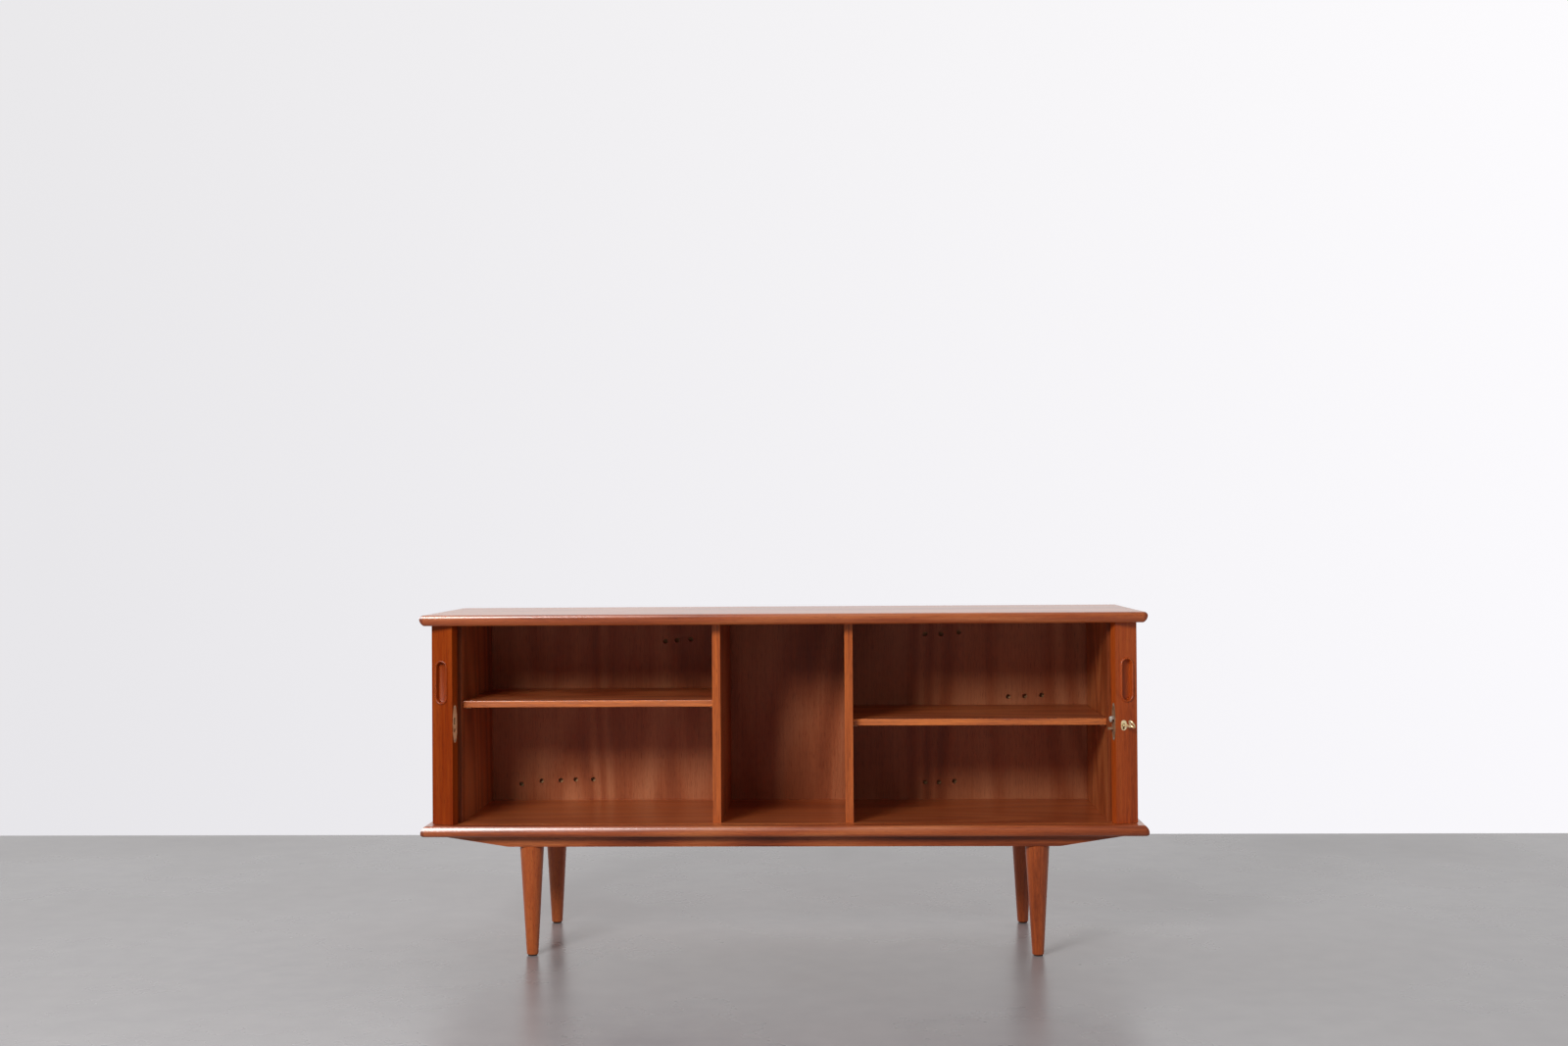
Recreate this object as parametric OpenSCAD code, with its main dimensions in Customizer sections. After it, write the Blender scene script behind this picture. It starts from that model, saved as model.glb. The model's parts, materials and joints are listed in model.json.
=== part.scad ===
// Lowboard for a television, with two sliding tambour doors, both standing open.
// X runs to the right, Y to the back and Z up. The origin is on the floor, under the middle.

/* [Carcass] */
// Length of the top and bottom boards
body_w = 1500; // [1300:10:1800]
// Depth of the top and bottom boards
body_d = 430; // [420:5:460]
// Thickness of the top and bottom boards
board_t = 22; // [20:1:30]
// Clear height between the two boards
inner_h = 415; // [350:5:500]
// How far the long slope of a board's edge reaches out
nose = 8; // [5:1:9]
// Radius of the short round on a board's outer face
edge_r = 7.5; // [4:0.5:9]
// Thickness of the side panels
side_t = 17; // [15:1:18]
// Thickness of the two dividers
divider_t = 17; // [14:1:20]
// Clear width of the open middle compartment
middle_w = 259; // [200:5:340]
// Thickness of the back panel
back_t = 6; // [4:1:6]
// Thickness of the shelves
shelf_t = 14; // [12:1:18]
// Height of the left shelf's upper face above the bottom board
left_shelf_h = 254; // [200:1:300]
// Height of the right shelf's upper face above the bottom board
right_shelf_h = 213; // [180:1:300]
// Diameter of the cable and air holes in the back panel
vent_d = 10.5; // [6:0.5:14]

/* [Base] */
// Height of the legs, from the floor to the base frame
leg_h = 230; // [180:1:300]
// Height of the base frame
rail_h = 23; // [18:1:30]
// Thickness of the front and rear rails
rail_t = 14; // [12:1:16]
// Radius of a leg at its top
leg_top_r = 25; // [20:0.5:28]
// Radius of a leg at its foot
leg_foot_r = 12; // [9:0.5:16]
// Distance of each leg's axis from the middle, along the length
leg_x = 526; // [450:1:600]
// Distance of each leg's axis from the middle, across the depth
leg_y = 165; // [150:1:168]

/* [Doors] */
// Width of a door's lead stile
stile_w = 49; // [44:1:56]
// Thickness of a lead stile
stile_t = 20; // [18:1:22]
// Angle that a lead stile has turned round the corner when its door is open
open_turn = 20; // [10:1:24]
// Slat pitch along the track
slat_pitch = 20; // [18:0.2:24]
// Thickness of a slat
slat_t = 9; // [8:0.5:10]
// Width of the track groove
track_w = 7; // [6:0.5:8]
// Depth of the track groove
track_deep = 6; // [5:0.5:8]
// Radius of the track's centre line at the corners
track_r = 30; // [26:1:40]
// Height of the finger pull
pull_h = 92; // [70:1:110]
// Width of the finger pull
pull_w = 28; // [24:1:32]

/* [Lock] */
// Height of the lock plate and of the strike plate
plate_h = 78; // [70:1:90]
// How far the hook bolt stands out of the stile when it is thrown
bolt_throw = 10; // [8:0.5:15]

/* [Hidden] */
$fn = 64;
eps = 0.5;
board_low = leg_h + rail_h;
floor_z = board_low + board_t;
ceil_z = floor_z + inner_h;
half_w = body_w / 2;
half_d = body_d / 2;

// inside faces of the carcass
side_in = 675;
side_out = side_in + side_t;
side_front = -154;
divider_in = middle_w / 2;
divider_out = divider_in + divider_t;
divider_front = -165;
shelf_front = -143;
shelf_play = 0.4;
back_front = 184;
back_rear = back_front + back_t;
left_shelf_top = floor_z + left_shelf_h;
right_shelf_top = floor_z + right_shelf_h;

// air holes drilled through the back panel: distance along X and height above the bottom board
vents = [
    [-609, 36], [-563, 43], [-519, 44], [-485, 46], [-445, 46],
    [-278, 360], [-251, 362], [-220, 364],
    [312, 373], [348, 373], [388, 377],
    [310, 38], [341, 38], [376, 40],
    [499, 231], [536, 232], [574, 234]
];

// tambour track: a rounded rectangle, wider behind the back panel than in front
track_front = -180;
track_rear = 200;
track_side = 729;
track_mid = (track_front + track_rear) / 2;
side_run_low = track_front + track_r;
side_run_high = track_rear - track_r;

// lead stile, drawn closed with its guide pin at x = 0, y = 0 and its leading edge towards +X
pin_x = 696;
lead = 14;
tail = stile_w - lead;
pin_d = 6;
pin_play = 0.1;
pin_deep = 22;
gap_z = 0.6;
stile_low = floor_z + gap_z;
stile_high = ceil_z - gap_z;
pull_x = -12.5;
pull_z = floor_z + 296;
pull_rim = 4.5;
pull_deep = 11;
pull_floor = 2;
pull_proud = 0.8;
pin_float = 0.2;

// tambour slats and their backing
slat_w = slat_pitch - 0.4;
tongue_l = slat_w - 6;
tongue_t = 4.6;
side_slat_n = floor((side_run_high - side_run_low) / slat_pitch + 0.001);
back_slat_n = 33;
curtain_end = track_side - track_r - back_slat_n * slat_pitch;
canvas_t = 0.8;
canvas_in = 8;

// lock, in the right stile's leading edge, and its strike in the left one
lock_z = floor_z + 210;
key_x = lead - 18;
key_z = lock_z - 7.4;
plate_t = 2;
plate_w = 16;
plate_end_r = 4.5;
screw_z = plate_h / 2 - 4.4;
case_low = lock_z - 33;
case_high = lock_z + 33;
case_back = -25;
case_w = 12;
case_wall = 1.2;
bolt_low = lock_z - 0.5;
bolt_high = lock_z + 11.5;
bolt_w = 4.4;
hook_nib = 5;
tongue_low = lock_z - 16;
tongue_high = lock_z - 11;
tongue_w = 4.2;
tongue_out = 13;
bolt_play = 1.2;

key_d = 5;
key_bore_d = 7.4;
key_slot_w = 4;
key_slot_h = 8.2;
key_out = 44;
bow_up = 5;
bow_r = 8;
bow_wire = 1.7;
rose_w = 12.5;
rose_h = 21;
rose_sunk = 1.5;
rose_proud = 0.7;
pocket_deep = 16;

// fixings
screw_d = 3.5;
screw_l = 30;
screw_head_d = 7;
screw_head_t = 2.5;
back_screw_h = [60, 205, 350];
dowel_d = 8;
dowel_l = 30;
dowel_y = [-110, 10, 130];
peg_d = 5;
peg_l = 18;
peg_in = 8;
peg_y = [-105, 130];
cross_w = 90;
stud_d = 8;
stud_low = leg_h - 26;
stud_high = leg_h + 19;
glide_t = 2.5;
glide_r = 9.5;

// base frame
rail_front = 0.5 - leg_y - leg_top_r;
rail_top = 719;
rail_flat = 571;

// ---- shapes that repeat ----

// section of a board, centred on x, with its inner face at y = 0: from there each edge slopes
// out in a long arc, then turns back to the outer face in a short round
module nosed_section(half) {
    apex = board_t - edge_r;
    slope_r = (apex * apex + nose * nose) / (2 * nose);
    translate([nose - half, 0]) square([2 * (half - nose), board_t]);
    for (s = [-1, 1]) {
        translate([s * (half - edge_r), apex]) circle(edge_r);
        intersection() {
            translate([s * (half - slope_r), apex]) circle(slope_r, $fn = 96);
            translate([-half, 0]) square([2 * half, apex]);
        }
    }
}

// a board whose four edges are shaped, with its inner face at z = 0 and its outer face up
module nosed_board() {
    intersection() {
        translate([0, half_d, 0]) rotate([90, 0, 0]) linear_extrude(body_d) nosed_section(half_w);
        translate([-half_w, 0, 0]) rotate([90, 0, 90]) linear_extrude(body_w)
            nosed_section(half_d);
    }
}

// rectangle with round corners, around the tambour track's middle
module round_rect(hx, hy, r) {
    square([2 * hx, 2 * (hy - r)], center = true);
    square([2 * (hx - r), 2 * hy], center = true);
    for (sx = [-1, 1], sy = [-1, 1]) translate([sx * (hx - r), sy * (hy - r)]) circle(r);
}

// band that follows the track between two distances from its centre line
module track_band(inner, outer) {
    hy = (track_rear - track_front) / 2;
    translate([0, track_mid]) difference() {
        round_rect(track_side + outer, hy + outer, track_r + outer);
        round_rect(track_side + inner, hy + inner, track_r + inner);
    }
}

module track_groove(low) {
    translate([0, 0, low]) linear_extrude(track_deep + eps) track_band(-track_w / 2, track_w / 2);
}

// upright slot shape with round ends, in x and z, from y = 0 to y = deep
module slot_block(w, h, deep) {
    translate([0, deep, 0]) rotate([90, 0, 0]) linear_extrude(deep) {
        square([w, h - w], center = true);
        for (s = [-1, 1]) translate([0, s * (h - w) / 2]) circle(w / 2);
    }
}

module left_door_place() {
    translate([-pin_x, track_front, 0]) rotate(-open_turn) children();
}

module right_door_place() {
    mirror([1, 0, 0]) left_door_place() children();
}

module dowel_places() {
    for (s = [-1, 1], y = dowel_y) {
        translate([s * (side_in + side_t / 2), y, 0]) children();
        translate([s * (divider_in + divider_t / 2), y, 0]) children();
    }
}

module dowel_bores(z) {
    translate([0, 0, z - dowel_l / 2 - 1]) dowel_places()
        cylinder(d = dowel_d + 0.1, h = dowel_l + 2);
}

// ---- carcass ----

module top_board() {
    color("burlywood") difference() {
        translate([0, 0, ceil_z]) nosed_board();
        track_groove(ceil_z - eps);
        dowel_bores(ceil_z);
    }
}

module bottom_board() {
    color("sienna") difference() {
        translate([0, 0, floor_z]) mirror([0, 0, 1]) nosed_board();
        track_groove(floor_z - track_deep);
        dowel_bores(floor_z);
        base_screw_places() cylinder(d = screw_d + 0.1, h = screw_l + 2);
    }
}

// upright panel of the carcass, from x = low to x = low + thickness, with its bores
module upright(low, thickness, front, pegs_left, pegs_right) {
    difference() {
        translate([low, front, floor_z]) cube([thickness, back_front - front, inner_h]);
        dowel_bores(floor_z);
        dowel_bores(ceil_z);
        back_screw_places() cylinder(d = screw_d + 0.1, h = screw_l + 1);
        if (pegs_left) left_peg_places() cylinder(d = peg_d + 0.05, h = peg_l + 0.2, center = true);
        if (pegs_right) right_peg_places()
            cylinder(d = peg_d + 0.05, h = peg_l + 0.2, center = true);
    }
}

module left_side_panel() {
    color("saddlebrown") upright(-side_out, side_t, side_front, true, false);
}

module right_side_panel() {
    color("saddlebrown") upright(side_in, side_t, side_front, false, true);
}

module left_divider() {
    color("peru") upright(-divider_out, divider_t, divider_front, true, false);
}

module right_divider() {
    color("peru") upright(divider_in, divider_t, divider_front, false, true);
}

// one vent or cable hole, at a distance along X and a height above the bottom board
module vent(x, h) {
    translate([x, back_front - 1, floor_z + h]) rotate([-90, 0, 0])
        cylinder(d = vent_d, h = back_t + 2);
}

module back_panel() {
    color("sienna") difference() {
        translate([-side_out, back_front, floor_z]) cube([2 * side_out, back_t, inner_h]);
        for (v = vents) vent(v[0], v[1]);
        back_screw_places() screw_shape(0.1);
    }
}

module shelf_blank() {
    cube([side_in - divider_out - 2 * shelf_play, back_front - shelf_play - shelf_front,
        shelf_t]);
}

module left_shelf() {
    color("sandybrown") translate([-side_in + shelf_play, shelf_front, left_shelf_top - shelf_t])
        shelf_blank();
}

module right_shelf() {
    color("sandybrown")
        translate([divider_out + shelf_play, shelf_front, right_shelf_top - shelf_t])
        shelf_blank();
}

// pegs that stand out of a panel's face, lying along X
module peg_row(face, out, z) {
    for (y = peg_y) translate([face + out * (peg_l / 2 - peg_in), y, z])
        rotate([0, 90, 0]) children();
}

module left_peg_places() {
    z = left_shelf_top - shelf_t - peg_d / 2;
    peg_row(-side_in, 1, z) children();
    peg_row(-divider_out, -1, z) children();
}

module right_peg_places() {
    z = right_shelf_top - shelf_t - peg_d / 2;
    peg_row(divider_out, 1, z) children();
    peg_row(side_in, -1, z) children();
}

module shelf_pegs() {
    color("tan") {
        left_peg_places() cylinder(d = peg_d, h = peg_l, center = true);
        right_peg_places() cylinder(d = peg_d, h = peg_l, center = true);
    }
}

module carcass_dowels() {
    color("tan") for (z = [floor_z, ceil_z])
        translate([0, 0, z - dowel_l / 2]) dowel_places() cylinder(d = dowel_d, h = dowel_l);
}

// countersunk wood screw, with its head's face at z = 0 and its tip up
module screw_shape(play = 0) {
    shank = screw_d + play;
    translate([0, 0, -play])
        cylinder(d1 = screw_head_d + play, d2 = shank, h = screw_head_t + play);
    cylinder(d = shank, h = screw_l + play);
}

module back_screw_places() {
    for (s = [-1, 1], x = [side_in + side_t / 2, divider_in + divider_t / 2], h = back_screw_h)
        translate([s * x, back_rear, floor_z + h]) rotate([90, 0, 0]) children();
}

module back_screws() {
    color("goldenrod") back_screw_places() screw_shape();
}

// ---- base ----

// long rail, bevelled up at both ends, with its front face at y = 0
module boat_rail() {
    rotate([90, 0, 0]) translate([0, 0, -rail_t]) linear_extrude(rail_t)
        polygon([
            [-rail_top, board_low], [-rail_flat, leg_h], [rail_flat, leg_h], [rail_top, board_low]
        ]);
}

module base_front_rail() {
    color("sienna") difference() {
        translate([0, rail_front, 0]) boat_rail();
        base_screw_places() screw_shape(0.1);
    }
}

module base_rear_rail() {
    color("sienna") difference() {
        translate([0, -rail_front - rail_t, 0]) boat_rail();
        base_screw_places() screw_shape(0.1);
    }
}

module cross_rail(x) {
    difference() {
        translate([x - cross_w / 2, rail_front + rail_t, leg_h])
            cube([cross_w, -2 * (rail_front + rail_t), rail_h]);
        base_screw_places() screw_shape(0.1);
        leg_places() translate([0, 0, leg_h - 1])
            cylinder(d = stud_d + 0.05, h = stud_high - leg_h + 1.2);
    }
}

module base_left_cross_rail() {
    color("sienna") cross_rail(-leg_x);
}

module base_right_cross_rail() {
    color("sienna") cross_rail(leg_x);
}

module base_screw_places() {
    for (s = [-1, 1], side = [-1, 1]) {
        for (x = [0, 340]) if (x > 0 || side > 0)
            translate([side * x, s * (rail_front + rail_t / 2), leg_h]) children();
        for (x = [-28, 28]) translate([side * leg_x + x, s * 95, leg_h]) children();
    }
}

module base_screws() {
    color("goldenrod") base_screw_places() screw_shape();
}

module leg_places() {
    for (sx = [-1, 1], sy = [-1, 1]) translate([sx * leg_x, sy * leg_y, 0]) children();
}

// straight round leg, tapering to its foot
module leg(sx, sy) {
    translate([sx * leg_x, sy * leg_y, 0]) difference() {
        translate([0, 0, glide_t]) cylinder(r1 = leg_foot_r, r2 = leg_top_r, h = leg_h - glide_t);
        translate([0, 0, stud_low - 0.2]) cylinder(d = stud_d + 0.05, h = leg_h);
    }
}

module front_left_leg() {
    color("peru") leg(-1, -1);
}

module front_right_leg() {
    color("peru") leg(1, -1);
}

module rear_left_leg() {
    color("peru") leg(-1, 1);
}

module rear_right_leg() {
    color("peru") leg(1, 1);
}

module leg_studs() {
    color("silver") leg_places() translate([0, 0, stud_low])
        cylinder(d = stud_d, h = stud_high - stud_low);
}

module foot_glides() {
    color("dimgray") leg_places() cylinder(r = glide_r, h = glide_t);
}

// ---- tambour curtains, at rest round the ends and behind the back panel ----

// one slat, standing across the track's centre line, with a tongue at each end
module slat() {
    translate([-slat_w / 2, -slat_t / 2, stile_low]) cube([slat_w, slat_t, stile_high - stile_low]);
    translate([-tongue_l / 2, -tongue_t / 2, floor_z - track_deep])
        cube([tongue_l, tongue_t, inner_h + 2 * track_deep - gap_z]);
}

module side_slats() {
    for (i = [0:side_slat_n - 1])
        translate([-track_side, side_run_low + (i + 0.5) * slat_pitch, 0]) rotate(90) slat();
}

module back_slats() {
    for (a = [22.5, 67.5])
        translate([track_r - track_side, side_run_high, 0]) rotate(-a) translate([-track_r, 0, 0])
            rotate(90) slat();
    for (i = [0:back_slat_n - 1])
        translate([track_r - track_side + (i + 0.5) * slat_pitch, track_rear, 0]) slat();
}

// woven backing, glued to the inner faces of the slats
module canvas() {
    translate([0, 0, stile_low + canvas_in]) linear_extrude(stile_high - stile_low - 2 * canvas_in)
        intersection() {
            track_band(-slat_t / 2 - canvas_t, -slat_t / 2);
            translate([-body_w, side_run_low]) square([body_w - curtain_end, body_d]);
        }
}

module left_side_slats() {
    color("chocolate") side_slats();
}

module left_back_slats() {
    color("chocolate") back_slats();
}

module left_canvas() {
    color("wheat") canvas();
}

module right_side_slats() {
    color("chocolate") mirror([1, 0, 0]) side_slats();
}

module right_back_slats() {
    color("chocolate") mirror([1, 0, 0]) back_slats();
}

module right_canvas() {
    color("wheat") mirror([1, 0, 0]) canvas();
}

// ---- lead stiles ----

module pin_pair(play = 0) {
    for (top = [0, 1]) {
        low = top ? stile_high - pin_deep - play : floor_z - track_deep + pin_float;
        high = top ? ceil_z + track_deep - pin_float : stile_low + pin_deep + play;
        translate([0, 0, low]) cylinder(d = pin_d + play, h = high - low);
    }
}

module left_guide_pins() {
    color("silver") left_door_place() pin_pair();
}

module right_guide_pins() {
    color("silver") right_door_place() pin_pair();
}

// stile with the pin bores and the finger pull's pocket
module stile_blank() {
    difference() {
        translate([-tail, -stile_t / 2, stile_low])
            cube([stile_w, stile_t, stile_high - stile_low]);
        pin_pair(pin_play);
        translate([pull_x, -stile_t / 2 - 1, pull_z]) slot_block(pull_w, pull_h, pull_deep + 1);
    }
}

module left_stile() {
    color("chocolate") left_door_place() difference() {
        stile_blank();
        plate_blank();
        plate_screw_pair(0.1);
        pocket(bolt_low, bolt_high, bolt_w);
        pocket(tongue_low, tongue_high, tongue_w);
    }
}

// pocket behind the strike plate that takes the bolt or the tongue
module pocket(low, high, w) {
    translate([lead - pocket_deep, -w / 2 - bolt_play, low - bolt_play])
        cube([pocket_deep + 1, w + 2 * bolt_play, high - low + 2 * bolt_play]);
}

module right_stile() {
    color("chocolate") right_door_place() difference() {
        stile_blank();
        plate_blank();
        plate_screw_pair(0.1);
        translate([case_back, -case_w / 2, case_low])
            cube([lead - case_back, case_w, case_high - case_low]);
        keyhole();
        translate([key_x, -stile_t / 2 - 1, key_z]) slot_block(rose_w, rose_h, rose_sunk + 1);
    }
}

// inset cup with a rim, for the fingers
module pull() {
    difference() {
        translate([pull_x, -stile_t / 2 - pull_proud, pull_z])
            slot_block(pull_w, pull_h, pull_deep + pull_proud);
        translate([pull_x, -stile_t / 2 - pull_proud - 1, pull_z]) slot_block(
            pull_w - 2 * pull_rim, pull_h - 2 * pull_rim, pull_deep + pull_proud + 1 - pull_floor
        );
    }
}

module left_pull() {
    color("peru") left_door_place() pull();
}

module right_pull() {
    color("peru") right_door_place() pull();
}

// ---- lock ----

// long plate with narrow round ends, let into a stile's leading edge
module plate_blank() {
    end = plate_h / 2 - plate_end_r;
    belly = plate_h / 4;
    translate([lead - plate_t, 0, lock_z]) rotate([0, 90, 0]) linear_extrude(plate_t) {
        for (s = [-1, 1]) translate([s * end, 0]) circle(plate_end_r);
        polygon([
            [-end, -plate_end_r], [-belly, -plate_w / 2],
            [belly, -plate_w / 2], [end, -plate_end_r],
            [end, plate_end_r], [belly, plate_w / 2], [-belly, plate_w / 2], [-end, plate_end_r]
        ]);
    }
}

module plate_screw_pair(play = 0) {
    for (s = [-1, 1]) translate([lead, 0, lock_z + s * screw_z]) rotate([0, -90, 0]) {
        translate([0, 0, -play]) cylinder(d1 = 5.4 + play, d2 = 3 + play, h = 1.6 + play);
        cylinder(d = 3 + play, h = 15 + play);
    }
}

module strike_plate() {
    color("tan") left_door_place() difference() {
        plate_blank();
        plate_screw_pair(0.1);
        pocket(bolt_low, bolt_high, bolt_w - 1);
        pocket(tongue_low, tongue_high, tongue_w - 1);
    }
}

module strike_screws() {
    color("silver") left_door_place() plate_screw_pair();
}

module lock_plate() {
    color("gray") right_door_place() {
        difference() {
            plate_blank();
            plate_screw_pair(0.1);
            translate([lead - plate_t - 1, -bolt_w / 2 - 0.2, bolt_low - 0.4])
                cube([plate_t + 2, bolt_w + 0.4, bolt_high - bolt_low + 0.8]);
        }
        translate([lead - 0.1, -tongue_w / 2, tongue_low])
            cube([tongue_out + 0.1, tongue_w, tongue_high - tongue_low]);
    }
}

module lock_screws() {
    color("silver") right_door_place() plate_screw_pair();
}

module lock_case() {
    color("darkgray") right_door_place() difference() {
        translate([case_back, -case_w / 2, case_low])
            cube([lead - plate_t - case_back, case_w, case_high - case_low]);
        translate([case_back + case_wall, case_wall - case_w / 2, case_low + case_wall])
            cube([lead - case_back, case_w - 2 * case_wall, case_high - case_low - 2 * case_wall]);
        translate([key_x, 0, key_z]) rotate([90, 0, 0]) cylinder(d = key_d + 0.1, h = stile_t);
    }
}

// way in for the key, from the stile's front face to the lock case
module keyhole() {
    translate([key_x, 0, key_z]) rotate([90, 0, 0]) cylinder(d = key_bore_d, h = stile_t);
    translate([key_x - key_slot_w / 2, -stile_t, key_z - key_slot_h])
        cube([key_slot_w, stile_t, key_slot_h]);
}

// brass key plate, let into the right stile's front face
module escutcheon() {
    color("gold") right_door_place() difference() {
        translate([key_x, -stile_t / 2 - rose_proud, key_z])
            slot_block(rose_w, rose_h, rose_sunk + rose_proud);
        keyhole();
    }
}

module hook_bolt() {
    tip = lead + bolt_throw;
    neck = bolt_low + hook_nib;
    color("gray") right_door_place() translate([0, bolt_w / 2, 0]) rotate([90, 0, 0])
        linear_extrude(bolt_w) polygon([
            [-8, bolt_low + 1], [2, bolt_low + 1], [2, neck], [tip - 6, neck],
            [tip - 4.5, bolt_low], [tip - 2, bolt_low], [tip, neck],
            [tip, bolt_high - 3], [tip - 3, bolt_high], [-8, bolt_high]
        ]);
}

module key() {
    bow_y = -stile_t / 2 - key_out + bow_r + bow_wire;
    color("gold") right_door_place() translate([key_x, 0, key_z]) {
        translate([0, 3, 0]) rotate([90, 0, 0]) cylinder(d = key_d, h = 3.5 - bow_y - bow_r);
        translate([0, -stile_t / 2 - 9, 0]) rotate([90, 0, 0]) cylinder(d = key_d + 2.4, h = 3);
        translate([-0.9, -2.5, -5]) cube([1.8, 5, 4]);
        translate([0, bow_y, bow_up]) rotate([0, 30, 0]) rotate([0, 90, 0])
            rotate_extrude() translate([bow_r, 0]) circle(bow_wire, $fn = 24);
    }
}

top_board();
bottom_board();
left_side_panel();
right_side_panel();
left_divider();
right_divider();
back_panel();
left_shelf();
right_shelf();
shelf_pegs();
carcass_dowels();
back_screws();
base_front_rail();
base_rear_rail();
base_left_cross_rail();
base_right_cross_rail();
base_screws();
front_left_leg();
front_right_leg();
rear_left_leg();
rear_right_leg();
leg_studs();
foot_glides();
left_side_slats();
left_back_slats();
left_canvas();
right_side_slats();
right_back_slats();
right_canvas();
left_guide_pins();
left_stile();
left_pull();
strike_plate();
strike_screws();
right_guide_pins();
right_stile();
right_pull();
lock_case();
lock_plate();
lock_screws();
escutcheon();
hook_bolt();
key();
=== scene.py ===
"""Looks for a teak lowboard with two tambour doors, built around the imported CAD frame.

Every position comes from the frame: +X right, +Y back, +Z up, in metres.
The slatted curtains, which the frame keeps in their open place, are modelled here in
stretches for each door: one round the cabinet's end that stays, one behind the back panel that
folds up, and one across the front that is drawn out of the stile, with a slat at its corner.
"""

import json
import math

import bpy
from mathutils import Matrix, Vector


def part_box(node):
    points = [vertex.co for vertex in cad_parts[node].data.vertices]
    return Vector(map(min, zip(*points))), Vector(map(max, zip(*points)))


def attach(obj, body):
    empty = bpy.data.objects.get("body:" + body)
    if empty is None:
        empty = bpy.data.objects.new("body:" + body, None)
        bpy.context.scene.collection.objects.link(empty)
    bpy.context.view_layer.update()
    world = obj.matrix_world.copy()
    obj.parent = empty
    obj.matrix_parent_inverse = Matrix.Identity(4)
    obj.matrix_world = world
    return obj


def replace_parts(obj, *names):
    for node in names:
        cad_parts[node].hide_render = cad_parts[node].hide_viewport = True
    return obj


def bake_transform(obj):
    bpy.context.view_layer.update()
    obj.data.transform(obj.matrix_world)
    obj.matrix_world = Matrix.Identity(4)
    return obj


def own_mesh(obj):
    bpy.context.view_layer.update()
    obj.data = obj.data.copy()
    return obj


MM = 0.001

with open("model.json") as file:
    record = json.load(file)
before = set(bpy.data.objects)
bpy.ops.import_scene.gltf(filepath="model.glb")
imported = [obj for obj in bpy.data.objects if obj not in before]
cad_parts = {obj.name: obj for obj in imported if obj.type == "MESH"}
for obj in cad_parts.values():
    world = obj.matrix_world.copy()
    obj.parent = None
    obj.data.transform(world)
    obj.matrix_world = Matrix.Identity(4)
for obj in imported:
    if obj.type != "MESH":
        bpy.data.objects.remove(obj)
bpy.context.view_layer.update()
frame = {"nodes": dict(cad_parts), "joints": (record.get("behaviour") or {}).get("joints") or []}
nodes = frame["nodes"]
joints = {j["name"]: j for j in frame["joints"]}
scene = bpy.context.scene

# ---------------------------------------------------------------- materials


def srgb(red, green, blue):
    """An sRGB colour from 0 to 255, as the linear colour that a node takes."""
    def linear(v):
        v /= 255
        return v / 12.92 if v <= 0.04045 else ((v + 0.055) / 1.055) ** 2.4

    return (linear(red), linear(green), linear(blue), 1.0)


class Graph:
    """The node tree of a material or a world, and short calls that add nodes to it."""

    def __init__(self, owner, place):
        owner.use_nodes = True
        self.tree = owner.node_tree
        self.place = self.node("TexCoord").outputs[place]

    def node(self, kind, **settings):
        made = self.tree.nodes.new("ShaderNode" + kind)
        for key, value in settings.items():
            setattr(made, key, value)
        return made

    def put(self, socket, value):
        """Links an output to the socket, or gives it a constant."""
        if isinstance(value, bpy.types.NodeSocket):
            self.tree.links.new(value, socket)
        else:
            socket.default_value = value

    def stretched(self, scale, offset=(0, 0, 0)):
        """The texture's place, scaled on each axis and then moved."""
        made = self.node("Mapping")
        self.put(made.inputs["Vector"], self.place)
        self.put(made.inputs["Scale"], scale)
        self.put(made.inputs["Location"], offset)
        return made.outputs["Vector"]

    def noise(self, vector, detail=2.0, roughness=0.5, distortion=0.0):
        """A noise of scale 1, which the vector's own scale stretches."""
        made = self.node("TexNoise")
        self.put(made.inputs["Vector"], vector)
        self.put(made.inputs["Scale"], 1.0)
        self.put(made.inputs["Detail"], detail)
        self.put(made.inputs["Roughness"], roughness)
        self.put(made.inputs["Distortion"], distortion)
        return made.outputs["Fac"]

    def wave(self, vector, direction, scale, distortion=0.0):
        made = self.node("TexWave", bands_direction=direction)
        self.put(made.inputs["Vector"], vector)
        self.put(made.inputs["Scale"], scale)
        self.put(made.inputs["Distortion"], distortion)
        return made.outputs["Fac"]

    def calc(self, operation, a, b=0.0, c=0.0):
        made = self.node("Math", operation=operation)
        for socket, value in zip(made.inputs, (a, b, c)):
            self.put(socket, value)
        return made.outputs[0]

    def remap(self, value, low, high, to_low=0.0, to_high=1.0):
        """The value from low to high as a value from to_low to to_high, kept within them."""
        made = self.node("MapRange")
        names = ("Value", "From Min", "From Max", "To Min", "To Max")
        for key, v in zip(names, (value, low, high, to_low, to_high)):
            self.put(made.inputs[key], v)
        return made.outputs["Result"]

    def ramp(self, factor, stops):
        """A colour from stops of (position, colour)."""
        made = self.node("ValToRGB")
        band = made.color_ramp
        while len(band.elements) < len(stops):
            band.elements.new(0.5)
        for element, (position, colour) in zip(band.elements, stops):
            element.position, element.color = position, colour
        self.put(made.inputs["Fac"], factor)
        return made.outputs["Color"]

    def mix(self, factor, a, b, blend="MIX"):
        made = self.node("Mix", data_type="RGBA", blend_type=blend)
        for index, value in ((0, factor), (6, a), (7, b)):
            self.put(made.inputs[index], value)
        return made.outputs[2]

    def coordinate(self, axis):
        made = self.node("SeparateXYZ")
        self.put(made.inputs[0], self.place)
        return made.outputs["XYZ".index(axis)]


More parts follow.
